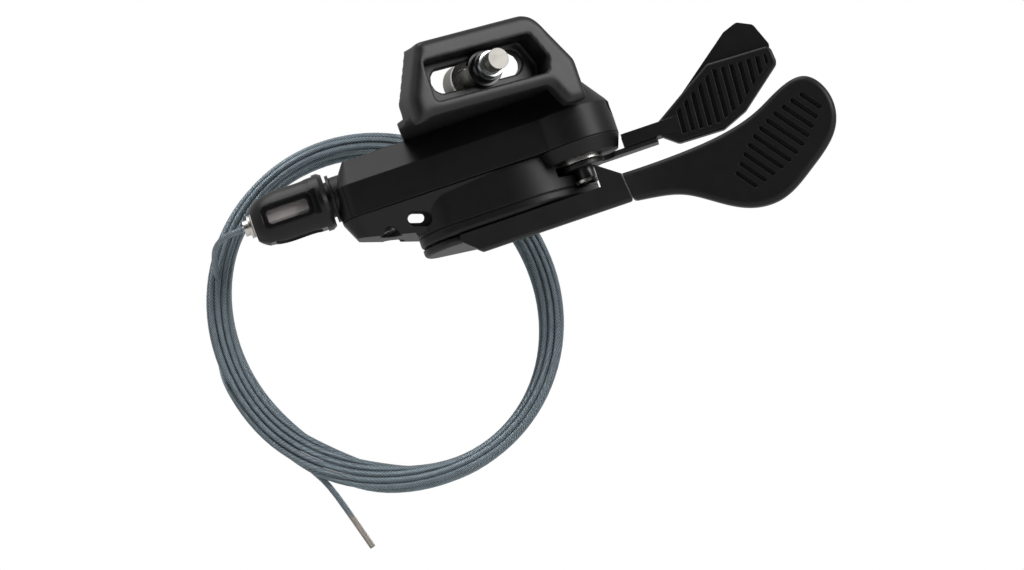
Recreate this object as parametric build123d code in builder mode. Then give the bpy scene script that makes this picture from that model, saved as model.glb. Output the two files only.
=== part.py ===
"""A right-hand trigger gear shifter for a bicycle handlebar, with its inner cable.

The frame has +Z along the pivot axis of the levers, +X from the cable adjuster
towards the thumb pads, and +Y away from the rider. The origin is the middle of
the slot in the mounting bracket, on the seat that lies against the brake clamp.
All sizes are in millimetres.
"""
from math import atan2, cos, degrees, pi, radians, sin, sqrt, tan
import os

from build123d import *

os.makedirs("parts", exist_ok=True)

# Fits and clearances

RUNNING_CLEARANCE = 0.05
SIDE_CLEARANCE = 0.3
SEAM_GAP = 0.12
HUB_GAP = 0.4

# Cable, drum and ratchet, round the main axle

MAIN_PIVOT = (0.0, 23.2)
AXLE_RADIUS = 2.5
CABLE_DIAMETER = 1.2
CABLE_Z = -12.8
DRUM_GROOVE_RADIUS = 12.0
DRUM_FLANGE = 0.9
DRUM_FLANGE_RADIUS = DRUM_GROOVE_RADIUS + DRUM_FLANGE
DRUM_HEIGHT = 6.4
DRUM_HUB_RADIUS = 4.2
DRUM_GROOVE_PLAY = 0.2
RATCHET_RADIUS = DRUM_FLANGE_RADIUS - 2.7
RATCHET_ROOT = RATCHET_RADIUS - 1.1
RATCHET_TEETH = 22
RATCHET_TOP = -19.8
RATCHET_THICKNESS = 1.6
TOOTH_STEP = 360 / RATCHET_TEETH
PAWL_CIRCLE = RATCHET_RADIUS + 2.4
PAWL_HUB = 1.9
PAWL_TIP = 0.5
PAWL_REACH = 24.0
PIN_RADIUS = 1.0
FEED_PIN_ANGLE = 148.0
STOP_PIN_ANGLE = 62.0
BASE_THICKNESS = 1.2
WASHER_THICKNESS = 0.6

# Housing: heights from the top down, then its plan

CASE_TOP = -6.7
SHOULDER_Z = -11.8
SEAM_Z = -18.3
STRIP_BOTTOM = -25.2
CASE_BOTTOM = -27.9
CASE_WALL = 1.6
CASE_ROOM = 2.3
CASE_RADIUS = DRUM_FLANGE_RADIUS + CASE_ROOM + CASE_WALL
FRONT_STEP = 0.9
CASE_FRONT = MAIN_PIVOT[1] - CASE_RADIUS - FRONT_STEP
CASE_LEFT = -33.5
CASE_END_DEPTH = 12.0
END_ROUND = 4.2
SHOULDER_INSET = 3.6
STRIP_INSET = 3.2
HUB_RECESS = 1.4
CUP_LOBE = (-12.4, CASE_FRONT + 9.0)
CUP_LOBE_RADIUS = 8.0
CUP_BAND = 1.9
BAND_GROOVE = 0.25

# Tower at the lever end

TOWER_AXIS = (15.1, CASE_FRONT + 6.8)
TOWER_RADIUS = 8.7
TOWER_COVER_BOTTOM = -21.2
TOWER_TAPER = 20.0
POST_RADIUS = 1.8
PORT_RADIUS = 1.9
PORT_DEPTH = 3.0

# Adjuster

KNOB_LENGTH = 15.6
KNOB_RADIUS = 5.8
KNOB_FLAT = 5.2
KNOB_WINDOWS = 4
WINDOW_LENGTH = 8.4
WINDOW_WIDTH = 2.8
PANEL_RIM = 1.1
PANEL_DEPTH = 0.6
CAGE_RADIUS = 3.6
SPIGOT_LENGTH = 3.4
BARREL_RADIUS = 2.4
BUSH_RADIUS = 3.6
BUSH_OUTER = 4.2
BUSH_LENGTH = 6.0
FERRULE_FLANGE = 0.5
FERRULE_LENGTH = 1.6
FERRULE_RADIUS = 1.6

# Main lever: its hub runs in a recess under the case, and its arm has a deep front wall

MAIN_TRAVEL = 45.0
HUB_RADIUS = CASE_RADIUS - CASE_WALL - 0.7
PLATE_THICKNESS = 1.5
PLATE_RADIUS = 9.5
PLATE_LOBE = (-13.9, CASE_FRONT + 9.2)
PLATE_LOBE_RADIUS = 6.4
ARM_BOTTOM = -32.8
ARM_WALL = 2.2
ARM_FRONT = CASE_FRONT + 1.7
ARM_LEFT = -9.0
ARM_END = 21.6
ARM_ROOT_TOP = -27.0
NUT_FLATS = 8.0
NUT_HEIGHT = 1.8
NUT_PROUD = 0.8
PAD_THICKNESS = 3.4
PAD_BOTTOM = -45.0
PAD_REACH = 26.0
PAD_ROUND = 1.1
RIB_DEPTH = 0.8
PAD_GROOVES = 11
PAD_GROOVE_WIDTH = 0.85
PAD_GROOVE_ENDS = 5.2
PAD_GROOVE_SWELL = 4.2
PAD_GROOVE_SLANT = -54.0
PAD_PANEL_LOW = (44.4, -36.2)
PAD_PANEL_HIGH = (61.2, -26.0)
PAD_CURVE = [
    (ARM_END + 0.1, ARM_FRONT),
    (34.0, ARM_FRONT + 0.4),
    (48.0, ARM_FRONT - 1.6),
    (67.0, ARM_FRONT - 6.0),
]
PAD_OUTLINE = [
    (ARM_END + 0.1, -26.9),
    (34.0, -26.7),
    (43.5, -25.9),
    (51.0, -23.9),
    (57.0, -21.2),
    (61.5, -20.8),
    (65.0, -25.2),
    (64.6, -31.6),
    (57.0, -38.6),
    (50.0, -42.1),
    (43.5, -41.6),
    (33.0, -35.2),
    (ARM_END + 0.7, ARM_BOTTOM),
]

# Release lever: the moulded arm's curves are measured from the end of its steel plate

RELEASE_PLATE_TOP = -22.0
RELEASE_PLATE_THICKNESS = 1.0
RELEASE_PLATE_REACH = 15.5
RELEASE_HUB = 4.2
RELEASE_TAIL = 5.6
RELEASE_ARM_WIDTH = 4.6
RELEASE_ARM_HEIGHT = 2.7
RELEASE_ARM_LAP = 5.0
RELEASE_ARM_LIP = 0.4
RELEASE_TOWER_GAP = 0.5
RELEASE_BAND = 46.0
RELEASE_THICKNESS = 3.0
WING_THICKNESS = 2.4
RELEASE_PANEL = (15.4, -18.0)
RELEASE_GROOVES = 12
RELEASE_GROOVE_PITCH = 1.75
RELEASE_GROOVE_LENGTH = 24.0
RELEASE_GROOVE_LEAN = -4.0
RELEASE_RIM = 1.5
RELEASE_CURVE = [
    (-0.1, -2.4),
    (7.4, -2.9),
    (17.4, -4.3),
    (28.4, -6.7),
]
RELEASE_OUTLINE = [
    (0.4, -21.8),
    (3.8, -24.6),
    (13.0, -25.0),
    (18.2, -23.0),
    (27.0, -16.2),
    (26.7, -12.4),
    (14.0, -11.6),
    (6.8, -15.8),
    (0.9, -19.4),
]
WING_OUTLINE = [
    (0.2, -20.6),
    (19.0, -6.6),
    (22.0, -5.6),
    (25.0, -7.2),
    (26.8, -12.0),
    (25.4, -15.6),
    (5.4, -21.4),
]

# Bracket and its bolt

BRACKET_TURN = 25.0
SLOT_LENGTH = 20.0
SLOT_HEIGHT = 5.0
SLOT_PLATE = 2.5
SEAT_LENGTH = 25.0
SEAT_HEIGHT = 8.0
SEAT_STEP = 1.0
RING_DEPTH = 8.5
RING_ROUND = 1.5
RING_SHOULDER = (12.4, 7.8)
RING_SHOULDER_ROUND = 4.5
RING_EDGE = 1.2
WINDOW_ROUND = 1.0
LOBE_BACK = 4.5
LOBE_TOP = -6.2
FOOT_TOP = -4.9
FOOT_LEFT = -17.0
FOOT_RIGHT = 18.4
FOOT_DEPTH = 10.3
BOLT_PLACE = 1.3
BOLT_RADIUS = 2.12
BOLT_HEAD_HEIGHT = 4.0
BOLT_HEAD_RADIUS = 4.0
BOLT_SOCKET = 2.3
BOLT_SOCKET_DEPTH = 2.2
BOLT_WASHER = 0.8
CLAMP_LUG = 4.0
NECK_START = 8.0
NECK_LENGTH = 1.0
NECK_DEPTH = 0.5
TIP_END = 11.2
NUT_PLAY = 0.1
NUT_FLANGE = 1.4
NUT_FLANGE_RADIUS = 3.6
NUT_BODY = 2.0
NUT_BODY_RADIUS = 3.0
NUT_RING = 1.5
NUT_RING_RADIUS = 2.65
RING_OUTLINE = [
    (-12.8, 7.8),
    RING_SHOULDER,
    (18.5, -3.4),
    (18.5, -11.6),
    (14.2, -11.6),
    (11.8, -7.1),
    (-13.6, -7.1),
    (-17.8, -8.2),
    (-17.8, -2.6),
]
WINDOW_OUTLINE = [
    (-13.0, 3.8),
    (10.6, 3.8),
    (13.0, -1.8),
    (12.0, -4.6),
    (-13.0, -4.6),
]

# Screws, groove and sight hole

BRACKET_SCREWS = [(-13.5, CASE_FRONT + 7.7), (15.6, TOWER_AXIS[1] + 0.5)]
CASE_SCREWS = [(-25.2, CASE_FRONT + 4.1), (-25.2, CASE_FRONT + 13.1)]
SCREW_RADIUS = 1.25
SCREW_HEAD = 2.2
SCREW_BITE = 3.0
SCREW_END_ROOM = 0.2
SCREW_HEAD_PLAY = 0.1
SCREW_SOCKET_DEPTH = 0.8
CASE_SCREW_HEAD = 1.4
CASE_SCREW_SOCKET = 0.9
BRACKET_SCREW_HEAD = 1.3
BRACKET_SCREW_SOCKET = 1.1
SCREW_HEAD_Z = SEAM_Z - 3.2
GROOVE_PLACE = 2.0
GROOVE_WIDTH = 0.7
GROOVE_DEPTH = 0.6
SIGHT_HOLE = (3.4, 1.9)
SIGHT_MOUTH = (5.0, 2.9)
SIGHT_LEAN = -18.0
SIGHT_TILT = radians(7)
SPRING_POCKET = 2.4
SPRING_POCKET_RADIUS = 3.2

# Free inner cable: points chosen by hand, and the coil's place and size

COIL_CENTRE = (-32.0, 34.6, -34.4)
COIL_TURN = radians(17)
COIL_RADIUS = 33.4
COIL_BUNDLE = 3.2
BEND_SHARE = 0.45
TAIL_ROUTE = [
    (-57.0, 28.0, -58.8),
    (-53.6, 28.0, -63.0),
    (-51.4, 28.1, -70.0),
    (-48.7, 28.2, -79.0),
]


def rider_plane(y: float) -> Plane:
    """A sketch plane that faces the rider: its x is X and its y is Z."""
    return Plane(origin=(0, y, 0), x_dir=(1, 0, 0), z_dir=(0, -1, 0))


def cable_plane(x: float) -> Plane:
    """A sketch plane across the cable's line at x, facing the levers."""
    return Plane(origin=(x, CABLE_Y, CABLE_Z), x_dir=(0, 1, 0), z_dir=(1, 0, 0))


def level(centre: tuple, z: float) -> Plane:
    """A level sketch plane at height z, centred on an axle."""
    return Plane(origin=(centre[0], centre[1], z))


def bracket_plane(out: float, along: float = 0.0) -> Plane:
    """A plane of the slot plate, a distance out of its seat towards the rider."""
    turn = radians(BRACKET_TURN)
    place = (along * cos(turn) + out * sin(turn), along * sin(turn) - out * cos(turn), 0)
    return Plane(origin=place, x_dir=(cos(turn), sin(turn), 0), z_dir=(sin(turn), -cos(turn), 0))


def around(centre: tuple, radius: float, angle: float) -> tuple:
    """The point at a radius and an angle in degrees from a centre."""
    turn = radians(angle)
    return (centre[0] + radius * cos(turn), centre[1] + radius * sin(turn))


def ring(plane: Plane, depth: float, outer: float, inner: float = 0.0, mode=Mode.ADD) -> None:
    """Add a disc to the piece in hand, or a ring where an inner radius is given."""
    with BuildSketch(plane) as face:
        Circle(outer)
        if inner:
            Circle(inner, mode=Mode.SUBTRACT)
    extrude(face.sketch, amount=depth, mode=mode)


def coil_spring(plane: Plane, radius: float, wire: float, turns: float, pitch: float) -> None:
    """Add a round-wire spring that winds up from a plane."""
    with BuildLine(plane) as path:
        Helix(pitch=pitch, height=turns * pitch, radius=radius)
    with BuildSketch(Plane(origin=path.line @ 0, z_dir=path.line % 0)) as section:
        Circle(wire / 2)
    sweep(section.sketch, path=path.line, is_frenet=True)


def spiral(start: float) -> list:
    """Points of the drum spring's spiral, which starts at a radius."""
    return [around((0, 0), start + SPIRAL_PITCH * angle / 360, angle) for angle in SPIRAL_STEPS]


def keep(part: Part, name: str) -> None:
    """Label a finished piece and write it out."""
    part.label = name
    export_step(part, f"parts/{name}.step")


# Heights and places that follow from those sizes

CABLE_Y = MAIN_PIVOT[1] - DRUM_GROOVE_RADIUS
DRUM_ROOM = DRUM_FLANGE_RADIUS + 0.4
DRUM_BOTTOM = CABLE_Z - DRUM_HEIGHT / 2
DRUM_TOP = CABLE_Z + DRUM_HEIGHT / 2
LID_INSIDE = DRUM_TOP + 1.2
PAWL_BOTTOM = RATCHET_TOP - RATCHET_THICKNESS
PIN_TOP = RATCHET_TOP + 1.4
FLOOR_BOTTOM = CASE_BOTTOM + HUB_RECESS
BASE_BOTTOM = FLOOR_BOTTOM + CASE_WALL
BASE_RADIUS = CASE_RADIUS - CASE_WALL
BASE_TOP = BASE_BOTTOM + BASE_THICKNESS
PLATE_TOP = CASE_BOTTOM - SIDE_CLEARANCE
HUB_BOTTOM = PLATE_TOP - PLATE_THICKNESS
HUB_TOP = FLOOR_BOTTOM - HUB_GAP
NUT_BOTTOM = HUB_BOTTOM - NUT_PROUD
NUT_RECESS = NUT_BOTTOM + NUT_HEIGHT + WASHER_THICKNESS + 0.1 - HUB_BOTTOM
AXLE_TOP = CASE_TOP - 0.6
AXLE_BOTTOM = NUT_BOTTOM - 0.1
AXLE_BORE = AXLE_RADIUS + RUNNING_CLEARANCE
HUB_BUSH = AXLE_RADIUS + 0.9
HUB_BUSH_FOOT = HUB_BOTTOM + NUT_RECESS
POST_TOP = CABLE_Z - PORT_RADIUS - 0.4
POST_BOTTOM = HUB_TOP + 0.5
CLIP_THICKNESS = 0.6
CLIP_Z = POST_BOTTOM + 0.5
ARM_CORNER = TOWER_AXIS[0] + POST_RADIUS
ARM_CORNER_Z = RELEASE_PLATE_TOP - RELEASE_PLATE_THICKNESS - 0.5
PORT_FACE = TOWER_AXIS[0] + TOWER_RADIUS - 1.2
FEED_PIN = around(MAIN_PIVOT, PAWL_CIRCLE, FEED_PIN_ANGLE)
STOP_PIN = around(MAIN_PIVOT, PAWL_CIRCLE, STOP_PIN_ANGLE)
TAIL_ANGLE = degrees(atan2(MAIN_PIVOT[1] - TOWER_AXIS[1], MAIN_PIVOT[0] - TOWER_AXIS[0]))
SHOULDER_TAPER = degrees(atan2(SHOULDER_INSET, CASE_TOP - SHOULDER_Z))
STRIP_TAPER = degrees(atan2(STRIP_INSET, SEAM_Z - STRIP_BOTTOM))
CUP_LEFT = CUP_LOBE[0] - CUP_LOBE_RADIUS
SIGHT_PLANE = Plane(
    origin=(CUP_LEFT + 0.8, CASE_FRONT, STRIP_BOTTOM + 2.8),
    x_dir=(1, 0, 0),
    z_dir=(0, -cos(SIGHT_TILT), -sin(SIGHT_TILT)),
)
KNOB_RIGHT = CASE_LEFT - 1.2
KNOB_LEFT = KNOB_RIGHT - KNOB_LENGTH
SPIGOT_ROOM = SPIGOT_LENGTH - 1.2 + 0.6
WINDOW_LEFT = KNOB_LEFT + 3.2
BARREL_LEFT = KNOB_LEFT - 0.4
BARREL_RIGHT = CASE_LEFT + BUSH_LENGTH - 2.1
CABLE_BORE = CABLE_DIAMETER / 2 + 0.2
CABLE_EXIT = BARREL_LEFT - FERRULE_LENGTH - 0.2
LEAD_ROUTE = [
    (CABLE_EXIT, CABLE_Y, CABLE_Z),
    (CABLE_EXIT - 5.4, 11.5, -13.2),
    (-62.0, 14.2, -16.6),
    (-63.9, 17.8, -21.4),
    (-64.2, 20.8, -27.3),
    (-63.6, 22.7, -33.6),
]
FOOT_BACK = CASE_FRONT + FOOT_DEPTH
FOOT_PLAN = [
    (-14.2, -10.9),
    (12.5, 1.4),
    (FOOT_RIGHT, 9.2),
    (FOOT_RIGHT, FOOT_BACK),
    (FOOT_LEFT, FOOT_BACK),
    (FOOT_LEFT, -4.6),
]
RELEASE_ROOT = TOWER_AXIS[0] + RELEASE_PLATE_REACH
RELEASE_PLAN = Plane(origin=(RELEASE_ROOT, TOWER_AXIS[1], PAD_BOTTOM))
RELEASE_FACE = Plane(origin=(RELEASE_ROOT, 0, 0), x_dir=(1, 0, 0), z_dir=(0, -1, 0))
BOLT_HEAD_FACE = -CLAMP_LUG - BOLT_WASHER
NUT_FACE = SLOT_PLATE + NUT_PLAY
NUT_BODY_FACE = NUT_FACE + NUT_FLANGE
HEAD_LENGTH = 4.0
HEAD_RADIUS = 1.9
HEAD_ANGLE = -66.0
WRAP_START = -88.0
HEAD_SEAT = around(MAIN_PIVOT, DRUM_FLANGE_RADIUS - HEAD_RADIUS - 0.5, HEAD_ANGLE)
HEAD_PLANE = Plane(
    origin=(*HEAD_SEAT, CABLE_Z),
    x_dir=(cos(radians(HEAD_ANGLE)), sin(radians(HEAD_ANGLE)), 0),
    z_dir=(-sin(radians(HEAD_ANGLE)), cos(radians(HEAD_ANGLE)), 0),
).offset(-HEAD_LENGTH / 2 - DRUM_GROOVE_PLAY)
SPIRAL_START = DRUM_HUB_RADIUS + 0.5
SPIRAL_STRIP = 0.5
SPIRAL_TURNS = 2.5
SPIRAL_PITCH = (RATCHET_RADIUS - SPIRAL_START - SPIRAL_STRIP - 0.25) / SPIRAL_TURNS
SPIRAL_STEPS = [30 * step for step in range(round(SPIRAL_TURNS * 12) + 1)]

# Plan outlines of the housing

with BuildSketch() as lower_outline:
    with Locations(MAIN_PIVOT):
        Circle(CASE_RADIUS)
    end_line = CASE_LEFT + END_ROUND
    with Locations((end_line, CASE_FRONT + END_ROUND), (end_line, CASE_FRONT + CASE_END_DEPTH - END_ROUND)):
        Circle(END_ROUND)
    make_hull()

with BuildSketch() as upper_outline:
    add(lower_outline.sketch)
    with BuildLine():
        Polyline((CASE_LEFT + END_ROUND, CASE_FRONT), (TOWER_AXIS[0], CASE_FRONT), MAIN_PIVOT, close=True)
    make_face()
    with Locations(TOWER_AXIS):
        Circle(TOWER_RADIUS)
    flat_corner = TOWER_AXIS[0] - sqrt(TOWER_RADIUS**2 - (TOWER_AXIS[1] - CASE_FRONT) ** 2)
    fillet(upper_outline.vertices().sort_by_distance((flat_corner, CASE_FRONT, 0))[0], radius=1.6)
    fillet(upper_outline.vertices().sort_by_distance((CASE_RADIUS, MAIN_PIVOT[1] - 3, 0))[0], radius=5)

with BuildSketch() as cup_outline:
    with Locations(MAIN_PIVOT):
        Circle(CASE_RADIUS)
    with Locations(CUP_LOBE):
        Circle(CUP_LOBE_RADIUS)
    make_hull()

# Outline of the lever's plate: round the axle, with a lobe under the left of the case

with BuildSketch() as plate_outline:
    with Locations(MAIN_PIVOT):
        Circle(PLATE_RADIUS)
    with Locations(PLATE_LOBE):
        Circle(PLATE_LOBE_RADIUS)
    make_hull()

# The arc that the feed pin sweeps, cut in the floor of the case

with BuildSketch() as pin_slot:
    SlotArc(CenterArc((0, 0), PAWL_CIRCLE, FEED_PIN_ANGLE, MAIN_TRAVEL), 2 * (PIN_RADIUS + SIDE_CLEARANCE))

# Upper case: a flat front face, a round tower at the lever end and a bevelled top

with BuildPart() as upper_case:
    with BuildSketch(Plane.XY.offset(SEAM_Z)):
        add(upper_outline.sketch)
    extrude(amount=SHOULDER_Z - SEAM_Z)
    with BuildSketch(Plane.XY.offset(SHOULDER_Z)):
        add(upper_outline.sketch)
    extrude(amount=CASE_TOP - SHOULDER_Z, taper=SHOULDER_TAPER)
    ring(level(MAIN_PIVOT, SEAM_Z), DRUM_BOTTOM - 0.3 - SEAM_Z, BASE_RADIUS, mode=Mode.SUBTRACT)
    ring(level(MAIN_PIVOT, SEAM_Z), LID_INSIDE - SEAM_Z, DRUM_ROOM, mode=Mode.SUBTRACT)
    ring(level(MAIN_PIVOT, LID_INSIDE), AXLE_TOP - LID_INSIDE, AXLE_RADIUS, mode=Mode.SUBTRACT)
    ring(cable_plane(CASE_LEFT), -CASE_LEFT, CABLE_DIAMETER, mode=Mode.SUBTRACT)
    ring(cable_plane(CASE_LEFT), BUSH_LENGTH, BUSH_OUTER, mode=Mode.SUBTRACT)
    ring(cable_plane(0), PORT_FACE, PORT_RADIUS - 0.4, mode=Mode.SUBTRACT)
    ring(cable_plane(PORT_FACE - PORT_DEPTH), PORT_DEPTH + 3, PORT_RADIUS, mode=Mode.SUBTRACT)
    ring(level(TOWER_AXIS, SEAM_Z), POST_TOP - SEAM_Z, POST_RADIUS, mode=Mode.SUBTRACT)
    ring(level(TOWER_AXIS, SEAM_Z), SPRING_POCKET, SPRING_POCKET_RADIUS, mode=Mode.SUBTRACT)
    with BuildSketch(rider_plane(CASE_FRONT)):
        with Locations((CASE_LEFT + GROOVE_PLACE, (SHOULDER_Z + SEAM_Z) / 2)):
            Rectangle(GROOVE_WIDTH, SHOULDER_Z - SEAM_Z)
    extrude(amount=-GROOVE_DEPTH, mode=Mode.SUBTRACT)
    for x, y in BRACKET_SCREWS:
        ring(Plane(origin=(x, y, CASE_TOP)), -SCREW_BITE, SCREW_RADIUS, mode=Mode.SUBTRACT)
    for x, y in CASE_SCREWS:
        ring(Plane(origin=(x, y, SEAM_Z)), SCREW_BITE, SCREW_RADIUS, mode=Mode.SUBTRACT)
keep(upper_case.part, "upper_case")

# Lower case: a round cup under the drum and a strip that slopes up to the adjuster

with BuildPart() as lower_case:
    with BuildSketch(Plane.XY.offset(SEAM_Z - SEAM_GAP)):
        add(lower_outline.sketch)
    extrude(amount=STRIP_BOTTOM - SEAM_Z, taper=STRIP_TAPER)
    with BuildSketch(rider_plane(0)):
        with BuildLine():
            Polyline(
                (CASE_LEFT - 1, STRIP_BOTTOM - 1),
                (CASE_LEFT - 1, SEAM_Z - 1.6),
                (CASE_LEFT + 1.6, SEAM_Z - 3.9),
                (CUP_LEFT, STRIP_BOTTOM + 0.4),
                (CUP_LEFT, STRIP_BOTTOM - 1),
                close=True,
            )
        make_face()
    extrude(amount=-2 * MAIN_PIVOT[1], mode=Mode.SUBTRACT)
    with BuildSketch(Plane.XY.offset(CASE_BOTTOM)):
        add(cup_outline.sketch)
    extrude(amount=SEAM_Z - SEAM_GAP - CASE_BOTTOM)
    fillet(lower_case.faces().sort_by(Axis.Z)[0].edges(), radius=0.8)
    with BuildSketch(Plane.XY.offset(CASE_BOTTOM + CUP_BAND)):
        offset(cup_outline.sketch, amount=1)
        offset(cup_outline.sketch, amount=-BAND_GROOVE, mode=Mode.SUBTRACT)
    extrude(amount=BAND_GROOVE, mode=Mode.SUBTRACT)
    ring(level(MAIN_PIVOT, BASE_BOTTOM), SEAM_Z - BASE_BOTTOM, BASE_RADIUS, mode=Mode.SUBTRACT)
    ring(level(MAIN_PIVOT, CASE_BOTTOM), HUB_RECESS, HUB_RADIUS + HUB_GAP, mode=Mode.SUBTRACT)
    ring(level(MAIN_PIVOT, FLOOR_BOTTOM), CASE_WALL, AXLE_RADIUS, mode=Mode.SUBTRACT)
    with BuildSketch(level(MAIN_PIVOT, FLOOR_BOTTOM)):
        add(pin_slot.sketch)
    extrude(amount=CASE_WALL, mode=Mode.SUBTRACT)
    with BuildSketch(Plane(origin=(*TOWER_AXIS, RELEASE_PLATE_TOP - RELEASE_PLATE_THICKNESS - 0.4))):
        Circle(RELEASE_TAIL + 0.5)
    extrude(amount=RELEASE_PLATE_THICKNESS + 0.8, mode=Mode.SUBTRACT)
    with BuildSketch(SIGHT_PLANE):
        SlotOverall(SIGHT_HOLE[0], SIGHT_HOLE[1], rotation=SIGHT_LEAN)
    extrude(amount=CASE_RADIUS * 3, both=True, mode=Mode.SUBTRACT)
    with BuildSketch(SIGHT_PLANE):
        with Locations((0.7, -0.4)):
            SlotOverall(SIGHT_MOUTH[0], SIGHT_MOUTH[1], rotation=SIGHT_LEAN)
    extrude(amount=-END_ROUND, mode=Mode.SUBTRACT)
    for x, y in CASE_SCREWS:
        ring(Plane(origin=(x, y, SEAM_Z)), STRIP_BOTTOM - SEAM_Z - 1, SCREW_RADIUS, mode=Mode.SUBTRACT)
        ring(Plane(origin=(x, y, SCREW_HEAD_Z)), STRIP_BOTTOM - SEAM_Z - 1, SCREW_HEAD, mode=Mode.SUBTRACT)
keep(lower_case.part, "lower_case")

# Tower cover: the moulding that closes the tower above the release lever

with BuildPart() as tower_cover:
    with BuildSketch(Plane.XY.offset(SEAM_Z - SEAM_GAP)):
        with Locations(TOWER_AXIS):
            Circle(TOWER_RADIUS)
    extrude(amount=TOWER_COVER_BOTTOM - SEAM_Z + SEAM_GAP, taper=TOWER_TAPER)
    ring(level(MAIN_PIVOT, CASE_BOTTOM), SEAM_Z - CASE_BOTTOM, CASE_RADIUS + SEAM_GAP, mode=Mode.SUBTRACT)
    ring(level(TOWER_AXIS, CASE_BOTTOM), SEAM_Z - CASE_BOTTOM, POST_RADIUS, mode=Mode.SUBTRACT)
keep(tower_cover.part, "tower_cover")

# Steel base plate in the bottom of the lower case

with BuildPart() as base_plate:
    ring(level(MAIN_PIVOT, BASE_BOTTOM), BASE_THICKNESS, BASE_RADIUS, AXLE_RADIUS)
    with BuildSketch(level(MAIN_PIVOT, BASE_BOTTOM)):
        add(pin_slot.sketch)
    extrude(amount=BASE_THICKNESS, mode=Mode.SUBTRACT)
    ring(level(STOP_PIN, BASE_BOTTOM), BASE_THICKNESS, PIN_RADIUS, mode=Mode.SUBTRACT)
keep(base_plate.part, "base_plate")

# Main axle with its nut and washer

with BuildPart() as main_axle:
    ring(level(MAIN_PIVOT, AXLE_BOTTOM), AXLE_TOP - AXLE_BOTTOM, AXLE_RADIUS)
    chamfer(main_axle.edges().filter_by(GeomType.CIRCLE), length=0.3)
keep(main_axle.part, "main_axle")

with BuildPart() as axle_nut:
    with BuildSketch(level(MAIN_PIVOT, NUT_BOTTOM)):
        RegularPolygon(radius=NUT_FLATS / 2, side_count=6, major_radius=False)
        Circle(AXLE_RADIUS, mode=Mode.SUBTRACT)
    extrude(amount=NUT_HEIGHT)
    ring(level(MAIN_PIVOT, NUT_BOTTOM), 0.6, NUT_FLATS, NUT_FLATS / 2 + 0.1, mode=Mode.SUBTRACT)
keep(axle_nut.part, "axle_nut")

with BuildPart() as axle_washer:
    ring(level(MAIN_PIVOT, NUT_BOTTOM + NUT_HEIGHT), WASHER_THICKNESS, NUT_FLATS / 2 + 0.8, AXLE_RADIUS)
keep(axle_washer.part, "axle_washer")

# Release post with its washer, clip and spring

with BuildPart() as release_post:
    ring(level(TOWER_AXIS, POST_BOTTOM), POST_TOP - POST_BOTTOM, POST_RADIUS)
    ring(level(TOWER_AXIS, CLIP_Z), CLIP_THICKNESS, POST_RADIUS, POST_RADIUS - 0.5, mode=Mode.SUBTRACT)
    chamfer(release_post.edges().filter_by(GeomType.CIRCLE).group_by(Axis.Z)[0], length=0.3)
keep(release_post.part, "release_post")

with BuildPart() as post_washer:
    ring(level(TOWER_AXIS, TOWER_COVER_BOTTOM - WASHER_THICKNESS), WASHER_THICKNESS, 4.4, POST_RADIUS)
    ring(level(MAIN_PIVOT, CASE_BOTTOM), SEAM_Z - CASE_BOTTOM, CASE_RADIUS + SEAM_GAP, mode=Mode.SUBTRACT)
keep(post_washer.part, "post_washer")

with BuildPart() as post_clip:
    ring(level(TOWER_AXIS, CLIP_Z), CLIP_THICKNESS, POST_RADIUS + 0.9, POST_RADIUS - 0.5)
    with BuildSketch(level(TOWER_AXIS, CLIP_Z)):
        with Locations((2, 0)):
            Rectangle(4, 2 * POST_RADIUS - 1.4)
    extrude(amount=CLIP_THICKNESS, mode=Mode.SUBTRACT)
    ring(level(MAIN_PIVOT, CASE_BOTTOM), SEAM_Z - CASE_BOTTOM, CASE_RADIUS + SEAM_GAP, mode=Mode.SUBTRACT)
keep(post_clip.part, "post_clip")

with BuildPart() as release_spring:
    coil_spring(level(TOWER_AXIS, SEAM_Z + 0.5), SPRING_POCKET_RADIUS - 0.65, 0.7, 2, 0.72)
keep(release_spring.part, "release_spring")

# Main lever: hub, arm wall and moulded thumb pad

with BuildPart() as main_lever_plate:
    with BuildSketch(Plane.XY.offset(HUB_BOTTOM)):
        add(plate_outline.sketch)
    extrude(amount=PLATE_THICKNESS)
    fillet(main_lever_plate.faces().sort_by(Axis.Z)[0].edges(), radius=0.9)
    ring(level(MAIN_PIVOT, PLATE_TOP), HUB_TOP - PLATE_TOP, HUB_RADIUS)
    with BuildSketch(Plane.XY.offset(PLATE_TOP)):
        with BuildLine():
            Polyline(
                (ARM_LEFT, ARM_FRONT),
                (ARM_END, ARM_FRONT),
                (ARM_END, ARM_FRONT + ARM_WALL),
                (PLATE_RADIUS - 1, MAIN_PIVOT[1]),
                MAIN_PIVOT,
                close=True,
            )
        make_face()
    extrude(amount=-PLATE_THICKNESS)
    with BuildSketch(rider_plane(ARM_FRONT)):
        with BuildLine():
            Polyline(
                (ARM_LEFT - 3.4, HUB_BOTTOM),
                (ARM_LEFT, ARM_BOTTOM),
                (ARM_END + 0.6, ARM_BOTTOM),
                (ARM_END, ARM_ROOT_TOP),
                (ARM_CORNER, ARM_CORNER_Z),
                (ARM_CORNER, PLATE_TOP),
                (ARM_LEFT - 3.4, PLATE_TOP),
                close=True,
            )
        make_face()
    extrude(amount=-ARM_WALL)
    ring(level(MAIN_PIVOT, HUB_BOTTOM), HUB_TOP - HUB_BOTTOM, HUB_BUSH, mode=Mode.SUBTRACT)
    ring(level(MAIN_PIVOT, HUB_BOTTOM), NUT_RECESS, NUT_FLATS / 2 + 1.6, mode=Mode.SUBTRACT)
    ring(level(FEED_PIN, HUB_BOTTOM), HUB_TOP - HUB_BOTTOM, PIN_RADIUS, mode=Mode.SUBTRACT)
    fillet(main_lever_plate.faces().sort_by(Axis.Z)[0].outer_wire().edges(), radius=0.7)
keep(main_lever_plate.part, "main_lever_plate")

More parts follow.
